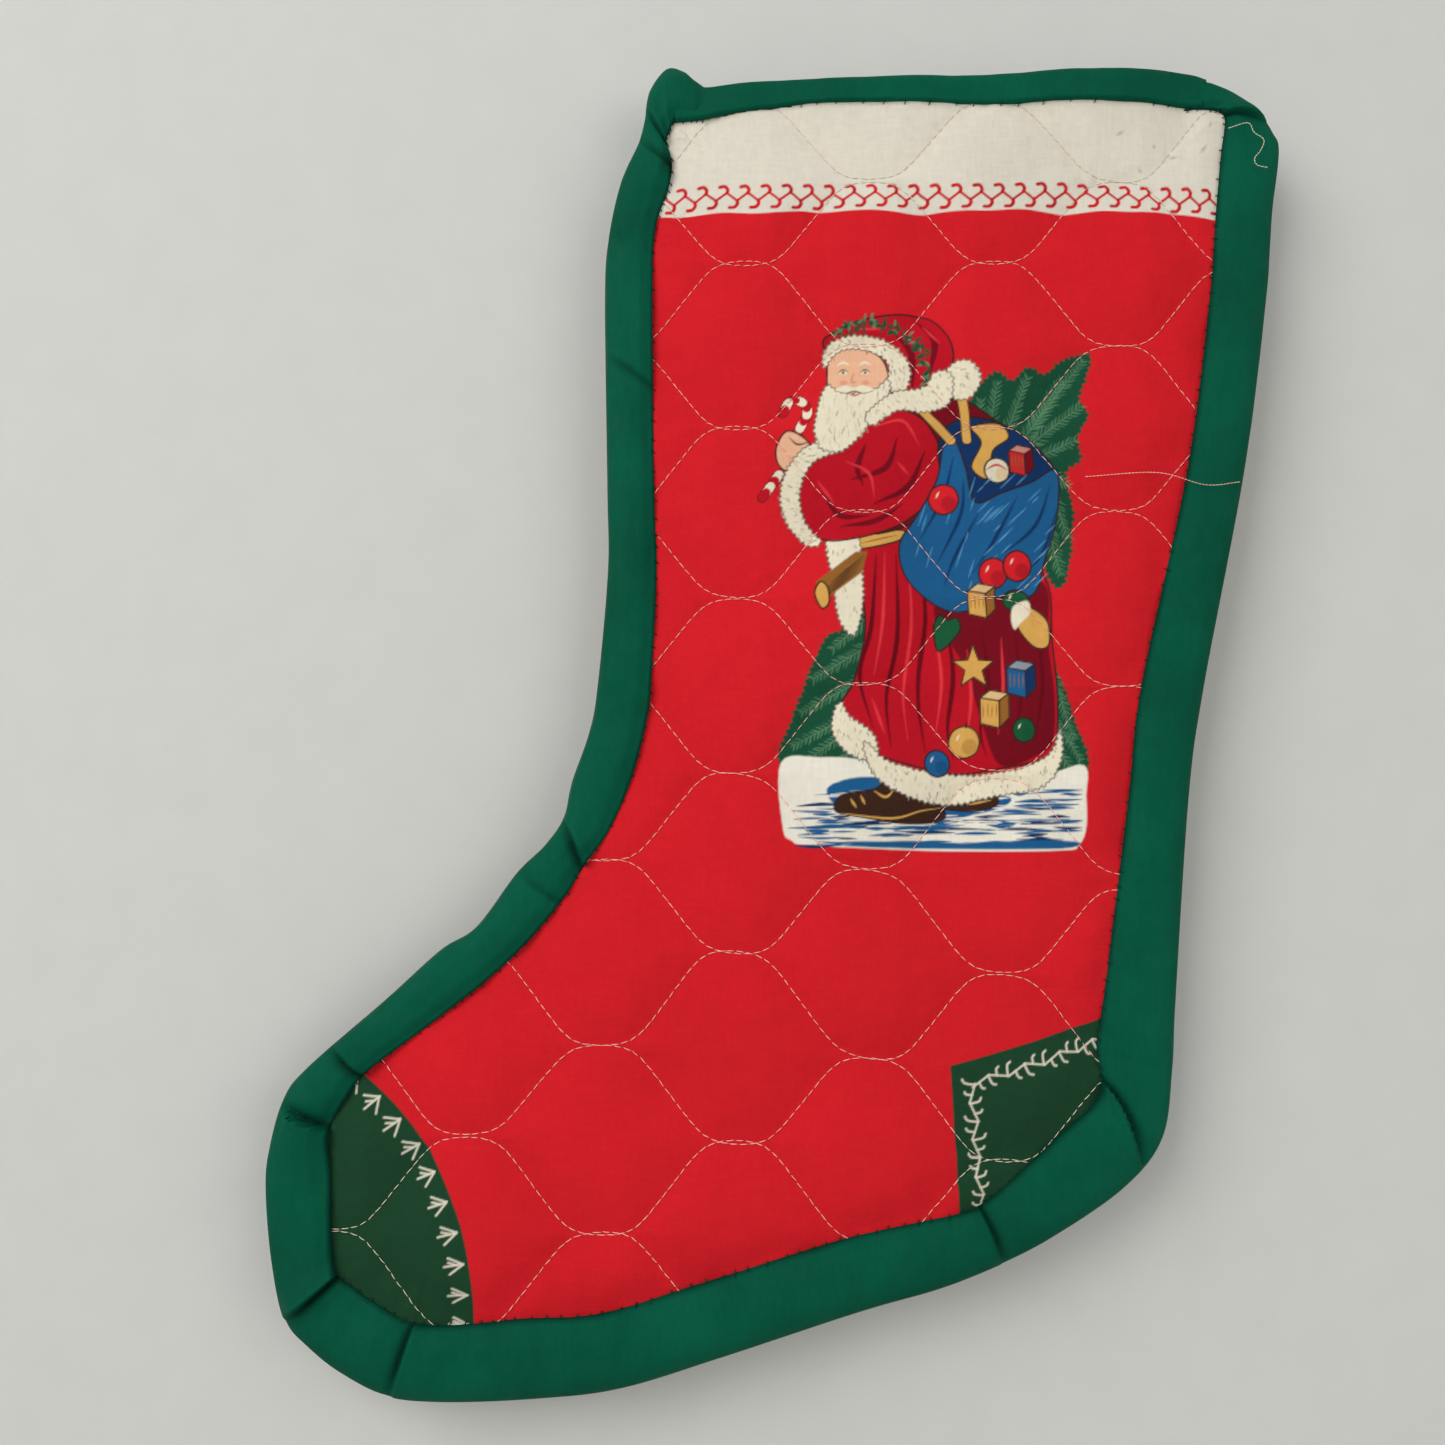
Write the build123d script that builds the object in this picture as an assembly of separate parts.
from build123d import *
import math
import os

# A quilted cotton stocking that hangs by a fabric loop, in millimetres.
# The outlines are drawn flat, seen from the front: X to the right, Z up from
# the lowest point of the foot. Y = 0 is the middle of the cavity and -Y is the
# front. Every solid is moved at the end so that the loop's eye is the origin.

# Layers of each quilted panel, from the cavity outwards.
CAVITY = 8.0
LINING = 0.4
BATTING = 3.0
FACE_CLOTH = 0.4
THREAD = 0.3
THREAD_WIDTH = 0.6

# Cotton binding, a folded strip that wraps the panels' edges.
BINDING = 0.8
BINDING_EDGE = 1.2
BINDING_INSIDE = 0.6
CUFF_LEFT = -38.0
CUFF_RIGHT = 142.0
CUFF_BELOW = 420.0
SEAM_INSET = 8.0
SEAM_TOP = 410.0

# Joins of the three binding strips: a slanted one on the leg, a straight one at the toe.
LEG_JOIN = (-56.0, 330.5)
LEG_JOIN_SLOPE = -1.0
TOE_JOIN_X = -121.0
TOE_JOIN_TOP = 60.0

# Quilting: wave lines in rows, every second row mirrored.
WAVE_PERIOD = 85.5
WAVE_ROW = 29.3
WAVE_HEIGHT = 14.1
WAVE_FLAT = 0.27
WAVE_CREST_X = -20.0
WAVE_FIRST_Z = 3.0
WAVE_ROWS = 16
WAVE_STEPS = 8

# Hand stitches along the inner edge of the binding.
STITCH_COUNT = 150
STITCH_LENGTH = 2.4
STITCH_WIDTH = 0.5
STITCH_SLANT = 25.0

# Hanging loop: a folded strip with a round eye, sewn by a tab behind the top corner.
LOOP_X = 134.0
LOOP_WIDTH = 10.0
LOOP_THICK = 1.6
LOOP_GAP = 0.3
TAB_THICK = 1.2
TAB_TOP = 436.5
TAB_BOTTOM = 428.5
EYE_RADIUS = 3.5
EYE_WALL = 0.8
EYE_DROP = 48.0
EYE_OFFSET = 2.8
TACK_ROWS = (430.5, 434.5)
TACK_WIDTH = 8.0
TACK_THICK = 0.3

LINING_Y = CAVITY / 2
BATTING_Y = LINING_Y + LINING
CLOTH_Y = BATTING_Y + BATTING
OUTSIDE_Y = CLOTH_Y + FACE_CLOTH
FLANGE_Y = OUTSIDE_Y + THREAD
BINDING_Y = FLANGE_Y + BINDING

TAB_Y = BINDING_Y
HINGE_Y = TAB_Y + TAB_THICK + LOOP_GAP + LOOP_THICK / 2
HINGE_Z = TAB_TOP + LOOP_THICK / 2
EYE_Y = HINGE_Y + EYE_OFFSET
EYE_Z = HINGE_Z - EYE_DROP

# Outer edge of the binding, anticlockwise from the corner above the instep.
# Each stretch is one smooth curve and ends where the next one starts.
OUTLINE = [
    [(-44, 439.5), (-50, 431), (-52, 418), (-60, 399), (-64, 375), (-64.5, 340), (-62.8, 290),
     (-63, 255), (-67, 212), (-76, 181)],
    [(-76, 181), (-90, 163), (-104, 145), (-118, 135), (-140, 115), (-157, 100), (-165, 87)],
    [(-165, 87), (-168, 66), (-165.5, 43), (-160, 24), (-148, 13), (-130, 3), (-108, 0)],
    [(-108, 0), (-80, 0.8), (-45, 7), (-2, 20), (44, 34), (79, 49), (103, 65)],
    [(103, 65), (113, 76), (118, 95), (121, 125), (128, 187), (137, 241), (151, 297), (161, 356),
     (167, 398), (167, 415), (158, 428), (145, 435.5), (128, 440)],
    [(128, 440), (90, 439), (38, 436), (-10, 435.3), (-30, 435.6), (-44, 439.5)],
]

# Inner edge of the binding, which frames the visible quilted panel.
WINDOW = [
    [(-42.5, 422), (-42.5, 407), (-47, 387), (-48.8, 360), (-48, 310), (-46.6, 262), (-48.6, 215),
     (-56, 186), (-72, 160)],
    [(-72, 160), (-86, 141), (-104, 123), (-134, 102), (-143, 92), (-150, 79)],
    [(-150, 79), (-148.5, 58), (-147.5, 36)],
    [(-147.5, 36), (-134, 27), (-118, 20.5), (-92, 21.5), (-66, 23), (-24, 34.5), (20, 47), (57, 55.5)],
    [(57, 55.5), (75, 71), (97, 91)],
    [(97, 91), (97.5, 115), (104, 158), (112, 204), (124, 264), (135, 302), (142, 345), (148, 392),
     (152, 426)],
    [(152, 426), (128, 428), (38, 426.6), (-20, 425), (-42.5, 422)],
]


def flattened(stretches):
    """All points of a closed outline, each corner once."""
    return [point for stretch in stretches for point in stretch[:-1]]


def inset(stretches, distance):
    """The outline moved inwards, point by point along its own normals."""
    points = flattened(stretches)
    moved = []
    for index, (x, z) in enumerate(points):
        before = Vector(*points[index - 1])
        after = Vector(*points[(index + 1) % len(points)])
        along = (after - before).normalized()
        moved.append((x - along.Y * distance, z + along.X * distance))
    result = []
    start = 0
    for stretch in stretches:
        count = len(stretch) - 1
        result.append([moved[(start + step) % len(moved)] for step in range(count + 1)])
        start += count
    return result


def outline_wire(stretches):
    """The closed outline as smooth curves that meet at its corners."""
    return Wire([Plane.XZ * Spline(*stretch) for stretch in stretches])


def outline_face(stretches):
    """The area inside a closed outline, standing upright at Y = 0."""
    return make_face(outline_wire(stretches).edges())


def layer(face, near, far):
    """A layer on the front side, from near to far in front of the middle."""
    return extrude(face, amount=far - near, dir=(0, -1, 0)).moved(Location((0, -near, 0)))


def to_back(solid):
    """The same solid on the back side."""
    return mirror(solid, about=Plane.XZ)


def upright_box(left, right, bottom, top, depth):
    """A box across the whole thickness, used to divide the binding."""
    centre = Location(((left + right) / 2, 0, (bottom + top) / 2))
    return Box(right - left, depth, top - bottom).moved(centre)


def wave_height(row, x):
    """Height of one quilting line at a place along it."""
    swing = math.cos(2 * math.pi * (x - WAVE_CREST_X) / WAVE_PERIOD)
    shape = swing * (1 + WAVE_FLAT - WAVE_FLAT * swing * swing)
    side = 1 if row % 2 == 0 else -1
    return WAVE_FIRST_Z + row * WAVE_ROW + side * WAVE_HEIGHT * shape


def wave_band(row):
    """One quilting line as a flat band as wide as its thread."""
    step = WAVE_PERIOD / WAVE_STEPS
    places = [WAVE_CREST_X + step * index for index in range(-2 * WAVE_STEPS, 3 * WAVE_STEPS - 1)]
    half = THREAD_WIDTH / 2
    upper = [(x, wave_height(row, x) + half) for x in places]
    lower = [(x, wave_height(row, x) - half) for x in places]
    edges = [Spline(*upper), Line(upper[-1], lower[-1]), Spline(*lower), Line(lower[0], upper[0])]
    return make_face([Plane.XZ * edge for edge in edges])


def quilting_thread(window):
    """The thread of every quilting line on the front panel."""
    solids = []
    for row in range(WAVE_ROWS):
        for piece in (wave_band(row) & window).faces():
            solids.append(layer(piece, OUTSIDE_Y, OUTSIDE_Y + THREAD))
    return Compound(children=solids)


def side_binding(outer, panel, window, cuff_zone):
    """The channel-shaped binding of the sides and foot, open along the cuff."""
    flange = layer(outer - window, FLANGE_Y, BINDING_Y)
    edge = layer(outer - panel, -BINDING_Y, BINDING_Y)
    return flange + to_back(flange) + edge - cuff_zone


def binding_strips(binding):
    """The three strips that the side binding is pieced from."""
    reach = 600.0
    depth = 4 * BINDING_Y
    right_of_toe_join = upright_box(TOE_JOIN_X, reach, -reach, TOE_JOIN_TOP, depth)
    above_heel_side = upright_box(0, reach, -reach, reach, depth)
    sole_zone = right_of_toe_join + above_heel_side
    angle = math.degrees(math.atan(LEG_JOIN_SLOPE))
    above_join = Box(reach, depth, reach).moved(Location((0, 0, reach / 2)))
    slanted = above_join.moved(Location((LEG_JOIN[0], 0, LEG_JOIN[1]), (0, -angle, 0)))
    upper_zone = slanted - above_heel_side
    return {
        "leg_binding": binding & upper_zone,
        "instep_binding": binding - upper_zone - sole_zone,
        "sole_binding": binding & sole_zone,
    }


def cuff_binding(outer, panel, window, cuff_zone):
    """The narrower channel over the top edge of the front panel alone."""
    rim = outer - window
    flange = layer(rim, FLANGE_Y, BINDING_Y)
    inside = layer(rim, LINING_Y - BINDING_INSIDE, LINING_Y)
    edge = layer(outer - panel, LINING_Y - BINDING_INSIDE, BINDING_Y)
    return (flange + inside + edge) & cuff_zone


def seam_thread(cuff_zone):
    """The machine seam under the binding, on the front and on the back panel."""
    outside = outline_face(inset(OUTLINE, SEAM_INSET))
    inside = outline_face(inset(OUTLINE, SEAM_INSET + THREAD_WIDTH))
    band = layer(outside - inside, OUTSIDE_Y, FLANGE_Y)
    band = band - cuff_zone - upright_box(-300, 300, SEAM_TOP, 500, 4 * BINDING_Y)
    return Compound(children=[*band.solids(), *to_back(band).solids()])


def binding_stitches():
    """Slanted hand stitches along the binding's inner edge, left out where the loop tab lies."""
    edge = outline_wire(inset(WINDOW, -STITCH_LENGTH * 0.7))
    stitch = Box(STITCH_LENGTH, THREAD, STITCH_WIDTH)
    solids = []
    for index in range(STITCH_COUNT):
        place = edge.position_at(index / STITCH_COUNT)
        if abs(place.X - LOOP_X) < LOOP_WIDTH and place.Z > CUFF_BELOW:
            continue
        along = edge.tangent_at(index / STITCH_COUNT)
        turn = math.degrees(math.atan2(along.Z, along.X)) + 90 + STITCH_SLANT
        where = Location((place.X, -BINDING_Y - THREAD / 2, place.Z), (0, -turn, 0))
        solids.append(stitch.moved(where))
    return Compound(children=solids)


def loop_tab():
    """The sewn ends of the loop strip, flat on the back of the cuff binding."""
    centre = Location((LOOP_X, TAB_Y + TAB_THICK / 2, (TAB_TOP + TAB_BOTTOM) / 2))
    return Box(LOOP_WIDTH, TAB_THICK, TAB_TOP - TAB_BOTTOM).moved(centre)


def loop_tack():
    """Two rows of tack stitches across the tab, one solid bar each, set in the tab's face."""
    bar = Box(TACK_WIDTH, TACK_THICK, STITCH_WIDTH)
    face = TAB_Y + TAB_THICK - TACK_THICK / 2
    return Compound(children=[bar.moved(Location((LOOP_X, face, z))) for z in TACK_ROWS])


def hanging_loop():
    """The strip that turns on the tab's top edge, with a round eye for the hook."""
    lengthwise = Plane((LOOP_X - LOOP_WIDTH / 2, 0, 0), x_dir=(0, 1, 0), z_dir=(1, 0, 0))
    outer_radius = EYE_RADIUS + EYE_WALL
    hinge_end = Pos(HINGE_Y, HINGE_Z) * Circle(LOOP_THICK / 2)
    strip = Pos(HINGE_Y, (HINGE_Z + EYE_Z) / 2) * Rectangle(LOOP_THICK, EYE_DROP)
    throat = make_face(Polyline(
        (HINGE_Y - LOOP_THICK / 2, EYE_Z + 3 * outer_radius),
        (HINGE_Y + LOOP_THICK / 2, EYE_Z + 3 * outer_radius),
        (EYE_Y + outer_radius, EYE_Z),
        (EYE_Y - outer_radius, EYE_Z),
        close=True,
    ))
    ring = Pos(EYE_Y, EYE_Z) * Circle(outer_radius)
    eye = Pos(EYE_Y, EYE_Z) * Circle(EYE_RADIUS)
    profile = hinge_end + strip + throat + ring - eye
    return extrude(lengthwise * profile, amount=LOOP_WIDTH)


def write_node(name, shape):
    """Write one node's solids with the loop's eye at the origin."""
    moved = Location((-LOOP_X, -EYE_Y, -EYE_Z))
    solids = [solid.moved(moved) for solid in shape.solids()]
    whole = solids[0] if len(solids) == 1 else Compound(children=solids)
    whole.label = name
    export_step(whole, os.path.join("parts", name + ".step"))
    print(name, len(solids), "solids", round(sum(solid.volume for solid in solids)), "mm3")


def main():
    os.makedirs("parts", exist_ok=True)
    outer = outline_face(OUTLINE)
    panel = outline_face(inset(OUTLINE, BINDING_EDGE))
    window = outline_face(WINDOW)
    cuff_zone = upright_box(CUFF_LEFT, CUFF_RIGHT, CUFF_BELOW, 500, 4 * BINDING_Y)

    front = {
        "face_cloth": layer(panel, CLOTH_Y, OUTSIDE_Y),
        "batting": layer(panel, BATTING_Y, CLOTH_Y),
        "lining": layer(panel, LINING_Y, BATTING_Y),
        "quilting_thread": quilting_thread(window),
        "cuff_binding": cuff_binding(outer, panel, window, cuff_zone),
        "binding_stitching": binding_stitches(),
    }
    for name, shape in front.items():
        write_node("front_" + name, shape)
        write_node("back_" + name, to_back(shape))

    binding = side_binding(outer, panel, window, cuff_zone)
    for name, shape in binding_strips(binding).items():
        write_node(name, shape)
    write_node("side_seam_thread", seam_thread(cuff_zone))
    write_node("loop_tab", loop_tab() - loop_tack())
    write_node("loop_tack_stitching", loop_tack())
    write_node("hanging_loop", hanging_loop())


main()
